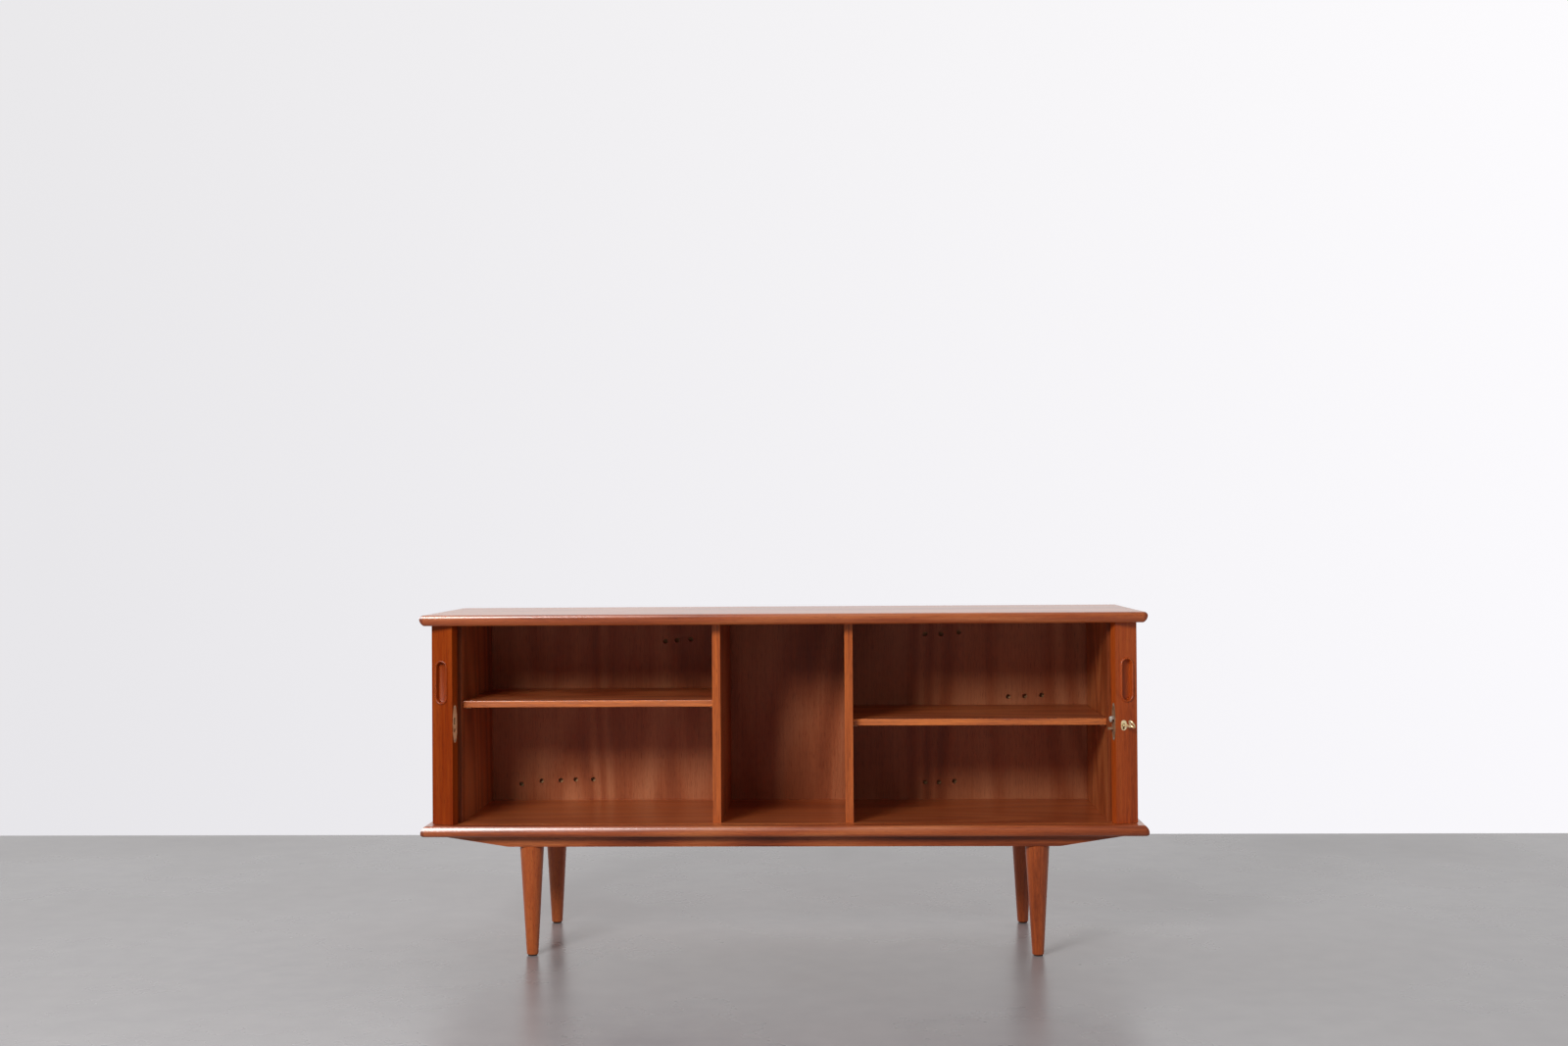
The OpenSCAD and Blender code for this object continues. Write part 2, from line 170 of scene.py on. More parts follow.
class Finish(Graph):
    """A material's tree, with calls for its shader."""

    def __init__(self, name):
        self.material = bpy.data.materials.new(name)
        super().__init__(self.material, "Object")
        self.shader = self.tree.nodes["Principled BSDF"]

    def set(self, **values):
        """Sets or links the shader's sockets; base_color stands for "Base Color"."""
        for key, value in values.items():
            wanted = key.replace("_", " ").lower()
            found = [s for s in self.shader.inputs if s.name.lower() == wanted]
            self.put(found[0], value)

    def bump(self, height, distance, strength=1.0):
        made = self.node("Bump")
        self.put(made.inputs["Height"], height)
        self.put(made.inputs["Distance"], distance)
        self.put(made.inputs["Strength"], strength)
        self.put(self.shader.inputs["Normal"], made.outputs["Normal"])


RING_PHASE = 70.0  # radians of ring figure as the noise goes from 0 to 1
PORE_DEPTH = 0.12 * MM
LIP_FADE = 0.2 * MM
END_FADE_START, END_FADE_STOP = 9 * MM, 4 * MM  # in from the board's end
END_PAINTED_SHADE = 0.85
LIP_T = 6 * MM
WAVE_PERIOD = 0.31  # a wave texture at this scale has a band in each metre


def along(grain, lengthwise, across):
    """A texture scale that is lengthwise on the grain's axis and across on the other two."""
    return tuple(lengthwise if axis == grain else across for axis in "XYZ")


def wood(name, dark, middle, light, grain, seed=0.0, figure=0.35, roughness=0.4, lip=None,
         tone=None, coat=0.2, contrast=1.0, relief=0.5, gloss=0.5, end=None):
    """Teak or beech: broad shade, ring figure, streaks and open pores, all along the grain.

    lip is (axis, limit, colour): the solid edging where the coordinate is below the limit.
    tone names a mesh attribute that shades each slat.
    end is how far the board reaches along the grain; towards it the colour is painted darker, as
    painted shade where the board's rounded ends turn away from the light.
    """
    g = Finish(name)
    offset = (seed, seed * 1.7, seed * 0.6)
    shade = g.noise(g.stretched(along(grain, 1.1, 7.0), offset), detail=3.0, distortion=0.4)
    field = g.noise(g.stretched(along(grain, 0.55, 4.2), offset), detail=1.2, roughness=0.4)
    rings = g.remap(g.calc("SINE", g.calc("MULTIPLY", field, RING_PHASE)), -1.0, 1.0)
    streaks = g.noise(g.stretched(along(grain, 5.0, 190.0), offset), detail=4.0, roughness=0.6)
    fibres = g.noise(g.stretched(along(grain, 30.0, 900.0), offset), detail=2.0)
    pores = g.remap(g.noise(g.stretched(along(grain, 45.0, 1500.0), offset), detail=1.0),
                    0.60, 0.68)
    mixed = g.calc("MULTIPLY_ADD", shade, 1.0 - figure, g.calc("MULTIPLY", rings, figure))
    mixed = g.calc("MULTIPLY_ADD", g.calc("SUBTRACT", streaks, 0.5), 0.7 * contrast, mixed)
    mixed = g.calc("MULTIPLY_ADD", g.calc("SUBTRACT", fibres, 0.5), 0.25 * contrast, mixed)
    colour = g.ramp(mixed, [(0.12, dark), (0.42, middle), (0.78, light)])
    if lip:
        axis, limit, lip_colour = lip
        inside = g.remap(g.coordinate(axis), limit, limit + LIP_FADE)
        lipping = g.mix(g.remap(streaks, 0.3, 0.7), lip_colour, middle)
        colour = g.mix(inside, lipping, colour)
    # painted shade: darker towards the board's ends, where the rounded ends turn away from the
    # light
    if end:
        outer = g.calc("ABSOLUTE", g.coordinate(grain))
        share = g.remap(outer, end - END_FADE_START, end - END_FADE_STOP, 0.0, END_PAINTED_SHADE)
        colour = g.mix(share, colour, dark)
    if tone:
        attribute = g.node("Attribute", attribute_name=tone).outputs["Fac"]
        colour = g.mix(1.0, colour, g.ramp(attribute, [(0.0, (0.82, 0.80, 0.78, 1)),
                                                      (1.0, (1.0, 1.0, 1.0, 1))]), "MULTIPLY")
    colour = g.mix(g.calc("MULTIPLY", pores, 0.45), colour, dark, "MULTIPLY")
    g.set(base_color=colour, coat_weight=coat, coat_roughness=0.2,
          roughness=g.remap(streaks, 0.3, 0.7, roughness - 0.05, roughness + 0.08))
    g.bump(g.calc("SUBTRACT", g.calc("MULTIPLY", streaks, 0.6), pores), PORE_DEPTH, relief)
    g.shader.inputs["Specular IOR Level"].default_value = gloss
    return g.material


def metal(name, colour, stain, roughness, seed=0.0, metallic=1.0):
    """Used metal: clouds of stain, rougher where it is stained, and fine upright scratches."""
    g = Finish(name)
    cloud = g.noise(g.stretched((60, 60, 60), (seed, 0, 0)), detail=4.0)
    scratch = g.noise(g.stretched((900, 900, 120), (0, seed, 0)), detail=2.0)
    g.set(base_color=g.mix(g.remap(cloud, 0.42, 0.72), colour, stain),
          metallic=metallic,
          roughness=g.remap(cloud, 0.3, 0.7, roughness - 0.06, roughness + 0.16))
    g.bump(scratch, 0.05 * MM, 0.35)
    return g.material


def cloth(name, colour, shadow, pitch):
    """A plain weave: two sets of threads that cross."""
    g = Finish(name)
    turns = WAVE_PERIOD / pitch
    warp = g.wave(g.stretched((1, 1, 1)), "Z", turns, 0.4)
    weft = g.wave(g.stretched((1, 1, 1)), "X", turns, 0.4)
    weft = g.calc("ADD", weft, g.wave(g.stretched((1, 1, 1)), "Y", turns, 0.4))
    height = g.calc("MULTIPLY", warp, weft)
    blotch = g.noise(g.stretched((25, 25, 25)), detail=3.0)
    shade = g.calc("MULTIPLY_ADD", blotch, 0.5, g.calc("MULTIPLY", height, 0.5))
    g.set(base_color=g.ramp(shade, [(0.1, shadow), (0.7, colour)]), roughness=0.9)
    g.shader.inputs["Sheen Weight"].default_value = 0.2
    g.bump(height, 0.3 * MM, 0.6)
    return g.material


TEAK_DARK = srgb(116, 48, 20)
TEAK = srgb(168, 82, 40)
TEAK_LIGHT = srgb(200, 116, 66)

board_teak = wood("board_teak", srgb(134, 58, 26), srgb(180, 86, 38), srgb(208, 118, 64), "X",
                  figure=0.25, roughness=0.34, coat=0.6, relief=0.15,
                  end=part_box("top_board")[1].x)
rail_teak = wood("rail_teak", TEAK_DARK, TEAK, TEAK_LIGHT, "X", 4.0)
# the side panels' front edging is painted dark: painted shade for the stile's shadow on that
# recessed edge
side_teak = wood("side_teak", TEAK_DARK, TEAK, TEAK_LIGHT, "Z", 2.0,
                 lip=("Y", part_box("left_side_panel")[0].y + LIP_T, srgb(134, 60, 28)))
back_teak = wood("back_teak", srgb(132, 64, 38), srgb(174, 98, 62), srgb(206, 136, 96), "Z",
                 9.3, figure=0.22, roughness=0.48, coat=0.0, contrast=0.45)
divider_teak = wood("divider_teak", TEAK_DARK, TEAK, TEAK_LIGHT, "Z", 6.0,
                    lip=("Y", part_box("left_divider")[0].y + LIP_T, srgb(218, 114, 52)))
shelf_teak = wood("shelf_teak", TEAK_DARK, TEAK, TEAK_LIGHT, "X", 7.0,
                  lip=("Y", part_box("left_shelf")[0].y + LIP_T, srgb(240, 136, 68)))
# the stiles are lit and shaded copies of one teak: the left one is darker and redder as painted
# shade, because the key light falls on it more strongly, and the right one is lighter and browner
# as a painted reflection of light from the right; neither shines
stile_teak = {
    "left": wood("stile_teak_left", srgb(98, 30, 2), srgb(146, 52, 5), srgb(168, 74, 18), "Z",
                 3.0, figure=0.12, coat=0.0, gloss=0.2),
    "right": wood("stile_teak_right", srgb(130, 50, 10), srgb(184, 78, 24), srgb(204, 102, 42),
                  "Z", 3.4, figure=0.12, coat=0.0, gloss=0.3),
}
slat_teak = wood("slat_teak", srgb(134, 60, 28), TEAK, srgb(186, 100, 54), "Z", 5.0,
                 figure=0.12, tone="tone", contrast=0.8)
leg_teak = wood("leg_teak", TEAK_DARK, srgb(182, 86, 38), srgb(206, 112, 56), "Z", 8.0,
                figure=0.2, coat=0.1)
beech = wood("beech", srgb(170, 130, 92), srgb(206, 172, 130), srgb(224, 194, 154), "X", 1.0,
             roughness=0.5, coat=0.0)
brass = metal("brass", srgb(255, 240, 196), srgb(240, 206, 140), 0.32, 0.0, 0.45)
old_brass = metal("old_brass", srgb(255, 206, 160), srgb(232, 168, 122), 0.42, 2.0, 0.05)
steel = metal("steel", srgb(222, 216, 206), srgb(160, 150, 140), 0.36, 3.0, 0.6)
dark_steel = metal("dark_steel", srgb(176, 138, 108), srgb(120, 88, 66), 0.45, 5.0, 0.3)
canvas = cloth("canvas", srgb(242, 194, 142), srgb(192, 138, 92), 0.9 * MM)
felt = cloth("felt", srgb(70, 58, 50), srgb(38, 32, 28), 0.6 * MM)

# ---------------------------------------------------------------- CAD nodes


WELD = 0.002 * MM
FLAT_ANGLE = math.radians(0.4)  # faces that meet more gently than this become one
EASE_ANGLE = math.radians(28)  # only edges sharper than this are eased


def dress(names, material, bevel=0.0, segments=3):
    """Gives CAD nodes a finish, with their edges eased by modifiers."""
    for name in names.split():
        obj = nodes[name]
        obj.data.materials.clear()
        obj.data.materials.append(material)
        custom = obj.data.attributes.get("custom_normal")
        if custom:
            obj.data.attributes.remove(custom)
        obj.data.shade_smooth()
        obj.modifiers.new("weld", "WELD").merge_threshold = WELD
        flat = obj.modifiers.new("flat", "DECIMATE")
        flat.decimate_type = "DISSOLVE"
        flat.angle_limit = FLAT_ANGLE
        if bevel:
            ease = obj.modifiers.new("ease", "BEVEL")
            ease.width = bevel
            ease.segments = segments
            ease.limit_method = "ANGLE"
            ease.angle_limit = EASE_ANGLE
            ease.harden_normals = True
        obj.modifiers.new("normals", "WEIGHTED_NORMAL").keep_sharp = True


dress("top_board bottom_board", board_teak, 1.2 * MM)
dress("left_side_panel right_side_panel", side_teak, 1.5 * MM)
dress("left_divider right_divider", divider_teak, 1.6 * MM)
dress("left_shelf right_shelf", shelf_teak, 1.6 * MM)
dress("back_panel", back_teak, 0.4 * MM, 1)
dress("base_front_rail base_rear_rail", rail_teak, 1.2 * MM)
dress("base_left_cross_rail base_right_cross_rail", rail_teak, 1.0 * MM)
dress("front_left_leg front_right_leg rear_left_leg rear_right_leg", leg_teak, 2.0 * MM)
for side in ("left", "right"):
    dress(side + "_stile", stile_teak[side], 1.8 * MM)
    dress(side + "_pull", stile_teak[side], 1.3 * MM, 4)
dress("shelf_pegs carcass_dowels", beech, 0.5 * MM)
dress("foot_glides", felt, 0.6 * MM)
dress("back_screws base_screws", brass, 0.15 * MM, 2)
dress("leg_studs left_guide_pins right_guide_pins", steel, 0.4 * MM)
dress("strike_plate", old_brass, 0.3 * MM, 2)
dress("lock_plate", dark_steel, 0.3 * MM, 2)
dress("lock_case", dark_steel, 0.2 * MM, 2)
dress("strike_screws lock_screws", steel, 0.15 * MM, 2)
dress("escutcheon", brass, 0.4 * MM)
dress("hook_bolt", steel, 0.5 * MM)
dress("key", brass, 0.5 * MM)

# ---------------------------------------------------------------- tambour curtains

SHARP_ANGLE = math.radians(32)


def add_mesh(name, points, faces, material, mirror=False, tone=None):
    """A new piece. mirror builds it on the right side of the cabinet, from left-side points."""
    if mirror:
        points = [(-x, y, z) for x, y, z in points]
        faces = [tuple(reversed(f)) for f in faces]
    mesh = bpy.data.meshes.new(name)
    mesh.from_pydata(points, [], faces)
    mesh.update()
    if tone:
        mesh.attributes.new("tone", "FLOAT", "POINT").data.foreach_set("value", tone)
    mesh.materials.append(material)
    mesh.shade_smooth()
    mesh.set_sharp_from_angle(angle=SHARP_ANGLE)
    obj = bpy.data.objects.new(name, mesh)
    scene.collection.objects.link(obj)
    return obj


slat_low, slat_high = (corner_point.z for corner_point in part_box("left_stile"))
tongue_low, tongue_high = (corner_point.z for corner_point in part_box("left_back_slats"))
pin = Vector(joints["left_stile_turn"]["pos_m"])
travel = joints["left_door_slide"]["range_m"][1]
open_turn = math.radians(joints["left_stile_turn"]["range_deg"][1])
SLAT_T = 9 * MM
SLAT_PITCH = 20 * MM
SLAT_GAP = 0.5 * MM
SLAT_CHAMFER, SLAT_CHAMFER_T = 1.2 * MM, 1.6 * MM  # at the back edges
SLAT_CROWN = 1.0 * MM  # how far the front curves back towards its edges
SLAT_ROUND, SLAT_ROUND_FROM = 1.5 * MM, 0.86  # the edges' extra round, from this share of the half
TONGUE_INSET = 3 * MM
TONGUE_HALF_T = 2.3 * MM
JOIN = 1 * MM  # how far a tongue reaches into its slat
CANVAS_T = 0.8 * MM
CANVAS_INSET = 8 * MM
CANVAS_SUNK = 0.1 * MM  # how far the canvas reaches into the slats' backs
TRACK_R = 30 * MM
track_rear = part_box("left_back_slats")[1].y - SLAT_T / 2
track_side = -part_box("left_side_slats")[0].x - SLAT_T / 2
track_front = pin.y
stile_tail = 35 * MM  # from the pin back to the curtain
stile_lead = 14 * MM  # from the pin to the leading edge
MEETING_GAP = 0.75 * MM  # between the leading edge and the cabinet's middle


def slat_section(width):
    """Half-crowned section of a slat, as (along the track, outwards), anticlockwise."""
    half, out, back = width / 2, SLAT_T / 2, -SLAT_T / 2
    section = [(-half + SLAT_CHAMFER, back), (half - SLAT_CHAMFER, back),
               (half, back + SLAT_CHAMFER_T)]
    steps = 9
    for i in range(steps + 1):
        u = 1 - 2 * i / steps
        edge = max(0, abs(u) - SLAT_ROUND_FROM) / (1 - SLAT_ROUND_FROM)
        section.append((half * u, out - SLAT_CROWN * abs(u) ** 2.4 - SLAT_ROUND * edge))
    section.append((-half, back + SLAT_CHAMFER_T))
    return section


def add_prism(points, faces, section, low, high, place):
    """A closed prism of the section from low to high; place turns (u, v) into (x, y)."""
    first, count = len(points), len(section)
    for z in (low, high):
        points += [(*place(u, v), z) for u, v in section]
    faces.append(tuple(first + i for i in reversed(range(count))))
    faces.append(tuple(first + count + i for i in range(count)))
    for i in range(count):
        j = (i + 1) % count
        faces.append((first + i, first + j, first + count + j, first + count + i))


def add_slat(points, faces, tones, place, width, shade):
    """One slat with its two tongues, which run in the boards' grooves."""
    start = len(points)
    add_prism(points, faces, slat_section(width), slat_low, slat_high, place)
    half, thin = width / 2 - TONGUE_INSET, TONGUE_HALF_T
    tongue = [(-half, -thin), (half, -thin), (half, thin), (-half, thin)]
    add_prism(points, faces, tongue, tongue_low, slat_low + JOIN, place)
    add_prism(points, faces, tongue, slat_high - JOIN, tongue_high, place)
    tones += [shade] * (len(points) - start)


def slat_shade(i):
    """A repeatable shade from 0 to 1 for slat number i."""
    return (math.sin(i * 12.9898 + 4.1) * 43758.5453) % 1.0


def slat_row(spots, first):
    """Points, faces and shades of one slat at each (place, width), numbered from first."""
    points, faces, tones = [], [], []
    for number, (place, width) in enumerate(spots, first):
        add_slat(points, faces, tones, place, width, slat_shade(number))
    return points, faces, tones


def straight(x, y, turn):
    """Place function for a slat at (x, y) whose outer face looks along turn."""
    c, s = math.cos(turn), math.sin(turn)
    return lambda u, v: (x - u * s + v * c, y + u * c + v * s)


def corner(x, y, angle):
    """Place function for a slat on the corner arc around (x, y)."""
    return straight(x + TRACK_R * math.cos(angle), y + TRACK_R * math.sin(angle), angle)


def strip(line):
    """Canvas: a thin upright strip behind the slats, along a line of (x, y, outward angle)."""
    low, high = slat_low + CANVAS_INSET, slat_high - CANVAS_INSET
    points, faces = [], []
    for x, y, turn in line:
        for depth in (SLAT_T / 2 - CANVAS_SUNK, SLAT_T / 2 + CANVAS_T):
            for z in (low, high):
                points.append((x - depth * math.cos(turn), y - depth * math.sin(turn), z))
    for k in range(len(line) - 1):
        a, b = 4 * k, 4 * k + 4
        for i, j in ((0, 1), (1, 3), (3, 2), (2, 0)):
            faces.append((a + i, b + i, b + j, a + j))
    end = 4 * (len(line) - 1)
    faces.append((0, 1, 3, 2))
    faces.append((end, end + 2, end + 3, end + 1))
    return points, faces


def bend(y, start, end, steps):
    """Canvas line round a corner of the track, as (x, y, outward angle)."""
    turns = [start + (end - start) * i / steps for i in range(steps + 1)]
    return [(corner_x + TRACK_R * math.cos(t), y + TRACK_R * math.sin(t), t) for t in turns]


LEFT, BACK, FRONT = math.pi, math.pi / 2, -math.pi / 2
corner_x = -track_side + TRACK_R
front_y, rear_y = track_front + TRACK_R, track_rear - TRACK_R
EIGHTH = math.pi / 8
slat_width = SLAT_PITCH - SLAT_GAP
side_count = round((rear_y - front_y) / SLAT_PITCH)
side_pitch = (rear_y - front_y) / side_count
back_count = round((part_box("left_back_slats")[1].x - corner_x) / SLAT_PITCH)
closed_tail = -stile_lead - MEETING_GAP - stile_tail  # where the curtain ends, doors shut
front_count = round((closed_tail - corner_x) / SLAT_PITCH)
front_pitch = (closed_tail - corner_x) / front_count

# Slats are numbered along the track: three corner slats, the end, the back, the front corner
# slat, the front. The number only sets the shade.
end_angles = (LEFT + EIGHTH, LEFT - EIGHTH, LEFT - 3 * EIGHTH)
back_first = len(end_angles) + side_count
corner_number = back_first + back_count
front_first = corner_number + 1

# The front stretch is stored inside the stile: from fold_start to fold_end. That is between
# the finger pull's cup and the leading edge.
fold_start, fold_end = pin.x + 3 * MM, pin.x + 10.5 * MM

CORNER_KEEP = 0.8  # how much the front corner slat shrinks on its way from the stored place
CORNER_SHIFT = 12.4 * MM  # how far back the corner slat waits
CORNER_BACK = 1.0 * MM  # its back is cut to this depth, so that the stile hides it


def stored(x):
    """Where a point that stands at x when the door is shut is kept while it is open.

    The blend moves a kept point by a smooth share of the travel, which rises from 0 at
    fold_start to 1 at fold_end, so the kept place is found by halving.
    """
    if x <= fold_start:
        return x
    low, high = fold_start, fold_end
    for _ in range(48):
        middle = (low + high) / 2
        share = (middle - fold_start) / (fold_end - fold_start)
        shut = middle + travel * share * share * (3 - 2 * share)
        low, high = (middle, high) if shut < x else (low, middle)
    return (low + high) / 2


def build_end(side, mirror):
    """Round the end of the cabinet: these slats look the same at every place of the door."""
    spots = [(corner(corner_x, front_y if angle > LEFT else rear_y, angle), slat_width)
             for angle in end_angles]
    spots += [(straight(-track_side, front_y + (i + 0.5) * side_pitch, LEFT),
               side_pitch - SLAT_GAP) for i in range(side_count)]
    points, faces, tones = slat_row(spots, 0)
    curtain = add_mesh(side + "_side_curtain", points, faces, slat_teak, mirror, tones)
    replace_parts(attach(curtain, "carcass"), side + "_side_slats")

    line = bend(front_y, LEFT + EIGHTH, LEFT, 4) + bend(rear_y, LEFT, BACK, 12)
    backing = add_mesh(side + "_side_canvas", *strip(line), canvas, mirror)
    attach(backing, "carcass")


def build_back(side, mirror):
    """Behind the back panel: folds up towards the corner as the door is shut."""
    spots = [(straight(corner_x + (i + 0.5) * SLAT_PITCH, track_rear, BACK), slat_width)
             for i in range(back_count)]
    points, faces, tones = slat_row(spots, back_first)
    folding = add_mesh(side + "_back_curtain", points, faces, slat_teak, mirror, tones)
    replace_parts(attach(folding, "carcass"), side + "_back_slats")

    end_x = corner_x + back_count * SLAT_PITCH
    points, faces = strip([(corner_x, track_rear, BACK), (end_x, track_rear, BACK)])
    back_canvas = add_mesh(side + "_back_canvas", points, faces, canvas, mirror)
    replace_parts(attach(back_canvas, "carcass"), side + "_canvas")

    for piece in (folding, back_canvas):
        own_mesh(piece)


def build_corner(side, mirror):
    """Front corner slat: waits inside the open stile, and comes forward as the door shuts."""
    angle = LEFT + 3 * EIGHTH
    centre_y = front_y + TRACK_R * math.sin(angle)
    anchor_y = centre_y - CORNER_SHIFT * CORNER_KEEP / (1 - CORNER_KEEP)
    outer = corner(corner_x, front_y, angle)
    points, faces, tones = slat_row([(lambda u, v: outer(u, max(v, CORNER_BACK)), slat_width)],
                                    corner_number)
    points = [(x, anchor_y + (y - anchor_y) / CORNER_KEEP, z) for x, y, z in points]
    hidden = add_mesh(side + "_corner_slat", points, faces, slat_teak, mirror, tones)
    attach(hidden, "carcass")
    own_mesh(hidden)


def build_front(side, mirror):
    """Across the front: drawn out of the stile's thickness as the door is shut."""
    spots = [(straight(corner_x + (i + 0.5) * front_pitch, track_front, FRONT),
              front_pitch - SLAT_GAP) for i in range(front_count)]
    points, faces, tones = slat_row(spots, front_first)
    steps = 2 * front_count
    strip_points, strip_faces = strip(
        [(corner_x + (closed_tail - corner_x) * i / steps, track_front, FRONT)
         for i in range(steps + 1)])
    for suffix, pts, fcs, finish, shades, slot in (
        ("_front_curtain", points, faces, slat_teak, tones, "teak_slat"),
        ("_front_canvas", strip_points, strip_faces, canvas, None, "canvas"),
    ):
        pts = [(stored(x), y, z) for x, y, z in pts]
        piece = add_mesh(side + suffix, pts, fcs, finish, mirror, shades)
        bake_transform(piece)


for side in ("left", "right"):
    for build in (build_end, build_back, build_corner, build_front):
        build(side, side == "right")

# ---------------------------------------------------------------- finger pulls


def leaf_place(u, v, z):
    """World place of a point on the open left stile: u towards its leading edge, v outwards."""
    c, s = math.cos(open_turn), math.sin(open_turn)
    return (pin.x + u * c - v * s, pin.y - u * s - v * c, z)


def stadium(centre_u, centre_z, half_w, half_h, v):
    """An upright ring with round ends, at v out of the stile's middle."""
    ring, count = [], 12
    for side_sign, turn in ((1, 0.0), (-1, math.pi)):
        for i in range(count + 1):
            a = turn + math.pi * i / count
            ring.append((centre_u + half_w * math.cos(a), v,
                         centre_z + side_sign * (half_h - half_w) + half_w * math.sin(a)))
    return ring


def loft(rings):
    """A closed skin through rings of equal length, capped at both ends: points and faces."""
    points = [p for ring in rings for p in ring]
    count = len(rings[0])
    faces = [tuple(reversed(range(count)))]
    for k in range(len(rings) - 1):
        a, b = k * count, (k + 1) * count
        faces += [(a + i, a + (i + 1) % count, b + (i + 1) % count, b + i)
                  for i in range(count)]
    last = (len(rings) - 1) * count
    faces.append(tuple(last + i for i in range(count)))
    return points, faces


def build_pull(side):
    """A turned rim round a hollow cup, let into the stile."""
    low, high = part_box("left_pull")
    centre_z = (high.z + low.z) / 2
    half_h = (high.z - low.z) / 2 + 0.6 * MM  # the bead overlaps the stile's cut-out
    face = 10 * MM  # the stile's outer face, from its middle
    centre_u, half_w = -12.5 * MM, 15.2 * MM
    bead_r, bead_h, skirt, lap = 2.2 * MM, 2.6 * MM, 1.8 * MM, 0.1 * MM
    floor_v = 1.2 * MM
    # from the hidden skirt over the bead to the cup's floor, as (inset, height over the middle)
    path = [(skirt, -0.8 * MM), (skirt, face), (0, face - lap)]
    steps = 8
    for i in range(steps + 1):
        a = math.pi * i / steps
        path.append((bead_r * (1 - math.cos(a)) + lap, face + bead_h * math.sin(a)))
    path += [(4.7 * MM, face - 1.5 * MM), (4.9 * MM, floor_v + 2.2 * MM),
             (5.6 * MM, floor_v + 0.7 * MM), (7.2 * MM, floor_v)]
    rings = [stadium(centre_u, centre_z, half_w - inset, half_h - inset, v)
             for inset, v in path]
    points, faces = loft(rings)
    piece = add_mesh(side + "_finger_pull", [leaf_place(*p) for p in points], faces,
                     stile_teak[side], side == "right")
    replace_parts(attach(piece, side + "_door"), side + "_pull")


for side in ("left", "right"):
    build_pull(side)

# ---------------------------------------------------------------- stage, light and camera

floor_graph = Finish("floor_grey")
mottle = floor_graph.noise(floor_graph.stretched((1.3, 1.3, 1.3)), detail=6.0, roughness=0.6)
specks = floor_graph.noise(floor_graph.stretched((14, 14, 14)), detail=4.0)
tone = floor_graph.calc("MULTIPLY_ADD", specks, 0.3, floor_graph.calc("MULTIPLY", mottle, 0.7))
floor_graph.set(base_color=floor_graph.ramp(tone, [(0.3, srgb(153, 151, 155)),
                                                   (0.7, srgb(175, 173, 175))]),
                roughness=floor_graph.remap(mottle, 0.3, 0.7, 0.22, 0.34))
WALL_Y = 1.41  # the floor ends here, and the world behind it stands for the wall
FLOOR_HALF_X, FLOOR_FRONT_Y = 9, -7
floor = bpy.data.meshes.new("floor")
floor.from_pydata([(-FLOOR_HALF_X, FLOOR_FRONT_Y, 0), (FLOOR_HALF_X, FLOOR_FRONT_Y, 0),
                   (FLOOR_HALF_X, WALL_Y, 0), (-FLOOR_HALF_X, WALL_Y, 0)], [], [(0, 1, 2, 3)])
floor.materials.append(floor_graph.material)
floor_object = bpy.data.objects.new("floor", floor)
scene.collection.objects.link(floor_object)

world = bpy.data.worlds.new("studio")
scene.world = world
sky = Graph(world, "Generated")
# what the camera sees behind the floor: a white wall, a little brighter to the right
seen = sky.ramp(sky.remap(sky.coordinate("Z"), -0.5, 0.5),
                [(0.0, (0.38, 0.38, 0.39, 1)), (0.325, (0.42, 0.42, 0.43, 1)),
                 (0.335, (0.86, 0.85, 0.88, 1)), (1.0, (0.90, 0.89, 0.90, 1))])
seen = sky.mix(1.0, seen, sky.remap(sky.coordinate("X"), -0.4, 0.4, 0.93, 1.12), "MULTIPLY")
# what lights the cabinet: the wall, some light from the left and above, a dim floor
wall_light = sky.remap(sky.coordinate("Y"), -0.1, 0.4, 0.07, 0.85)
left_light = sky.remap(sky.coordinate("X"), -0.9, 0.5, 0.10, 0.0)
roof_light = sky.remap(sky.coordinate("Z"), 0.2, 1.0, 0.0, 0.08)
glow = sky.calc("ADD", sky.calc("ADD", wall_light, left_light), roof_light)
glow = sky.calc("MULTIPLY", glow, sky.remap(sky.coordinate("Z"), -0.17, -0.15, 0.35, 1.0))
studio = sky.mix(glow, (0, 0, 0, 1), (1.0, 0.985, 0.98, 1))
lamp = sky.tree.nodes["Background"]
camera_ray = sky.node("LightPath").outputs["Is Camera Ray"]
sky.put(lamp.inputs["Color"], sky.mix(camera_ray, studio, seen))
sky.put(lamp.inputs["Strength"], 1.0)


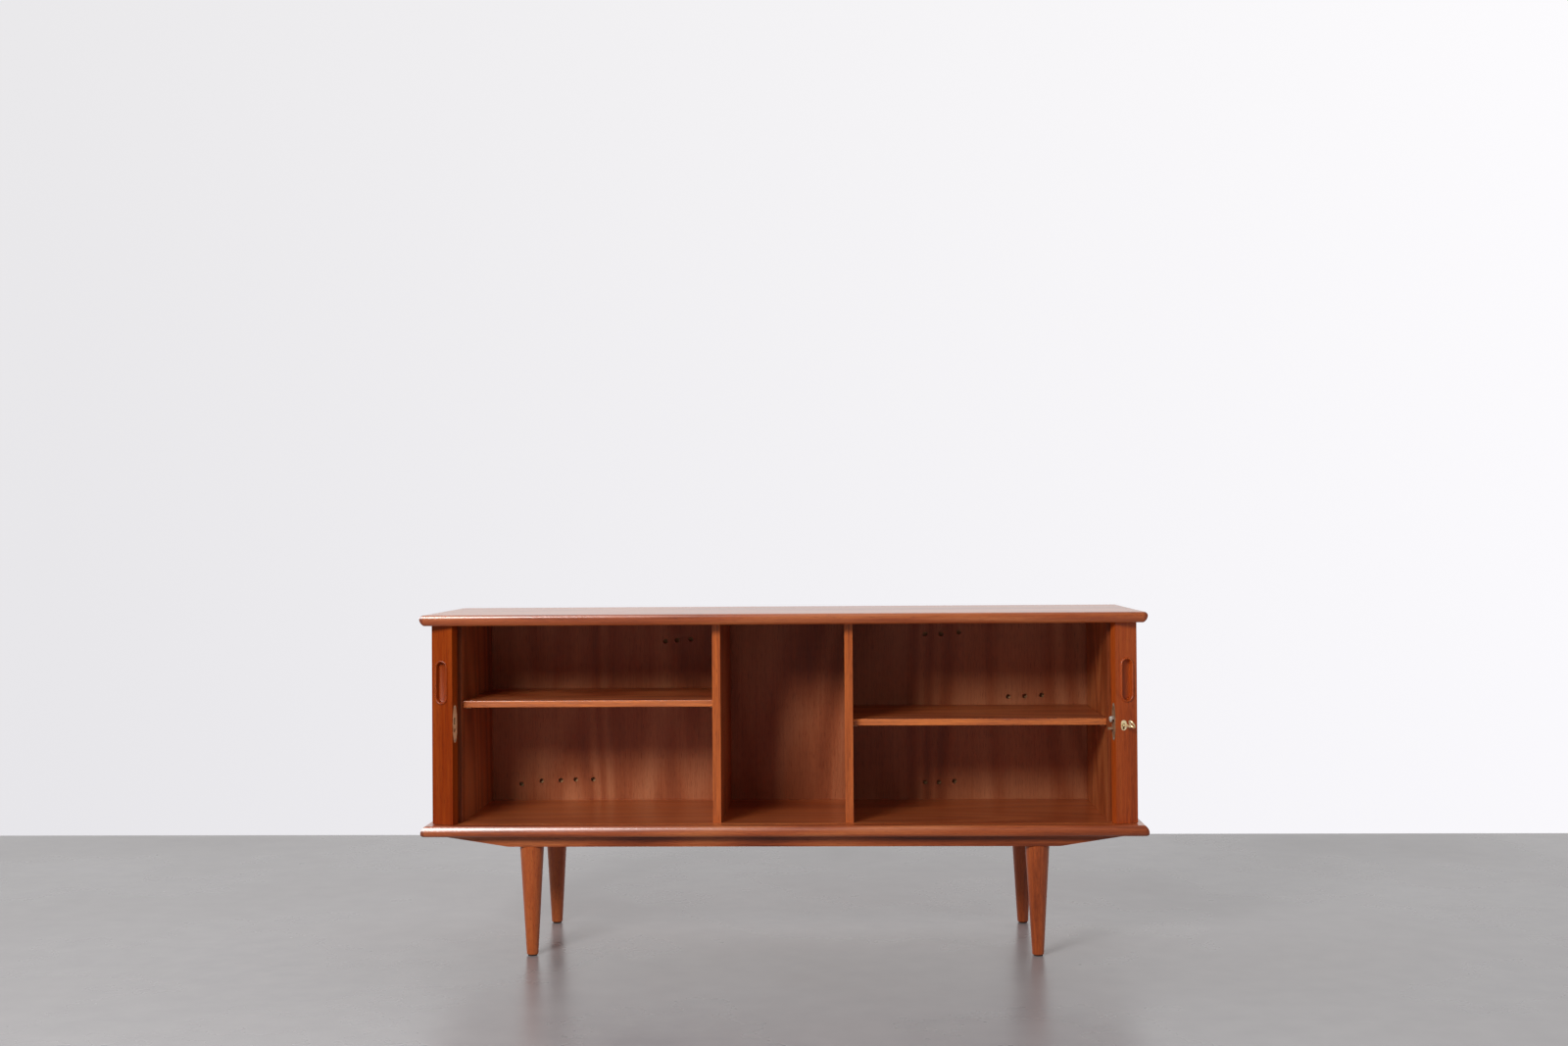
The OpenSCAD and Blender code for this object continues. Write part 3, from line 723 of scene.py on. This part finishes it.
def area_light(name, place, aim, size, power, colour=(1, 1, 1), diffuse=True, glossy=True):
    """A rectangular light at place that looks at aim, with its size in metres, power in W."""
    data = bpy.data.lights.new(name, "AREA")
    data.shape = "RECTANGLE"
    data.size, data.size_y = size
    data.energy = power
    data.color = colour
    obj = bpy.data.objects.new(name, data)
    obj.location = place
    obj.visible_diffuse = diffuse
    obj.visible_glossy = glossy
    obj.rotation_euler = (Vector(aim) - Vector(place)).to_track_quat("-Z", "Y").to_euler()
    scene.collection.objects.link(obj)
    return obj


middle = (0, 0, 0.45)
WARM = (1.0, 0.98, 0.95)
area_light("key", (-1.6, -3.3, 2.15), middle, (1.2, 0.9), 92, WARM, glossy=False)
area_light("fill", (3.0, -2.6, 2.2), middle, (1.6, 2.0), 15, WARM, glossy=False)
area_light("card", (2.9, -2.1, 0.7), middle, (1.6, 1.6), 6, diffuse=False)
# the bright line along the boards' front edges; on the stiles and the floor it would be a haze
gleam = area_light("gleam", (-1.6, -1.75, 2.45), (-0.5, -0.2, 0.6), (1.4, 2.2), 215,
                   diffuse=False)
gleaming = bpy.data.collections.new("gleaming")
for name in ("top_board", "bottom_board", "left_shelf", "right_shelf", "left_finger_pull",
             "right_finger_pull", "escutcheon", "key", "hook_bolt", "strike_plate"):
    gleaming.objects.link(bpy.data.objects[name])
gleam.light_linking.receiver_collection = gleaming

# the camera, fitted to the view: nearly level, from a little right of the middle
EYE = (0.13373, -4.01553, 0.86431)
yaw, pitch, roll = -0.033246, -0.009001, -0.006887
right = Vector((math.cos(yaw), -math.sin(yaw), 0))
ahead = Vector((math.sin(yaw) * math.cos(pitch), math.cos(yaw) * math.cos(pitch),
                -math.sin(pitch)))
up = right.cross(ahead)
lens = bpy.data.cameras.new("camera")
lens.sensor_width = 36.0
lens.lens = 42.43
camera = bpy.data.objects.new("camera", lens)
right, up = (right * math.cos(roll) + up * math.sin(roll),
             up * math.cos(roll) - right * math.sin(roll))
turned = Matrix((right, up, -ahead)).transposed().to_4x4()
camera.matrix_world = Matrix.Translation(EYE) @ turned
scene.collection.objects.link(camera)
scene.camera = camera
scene.view_settings.view_transform = "Standard"
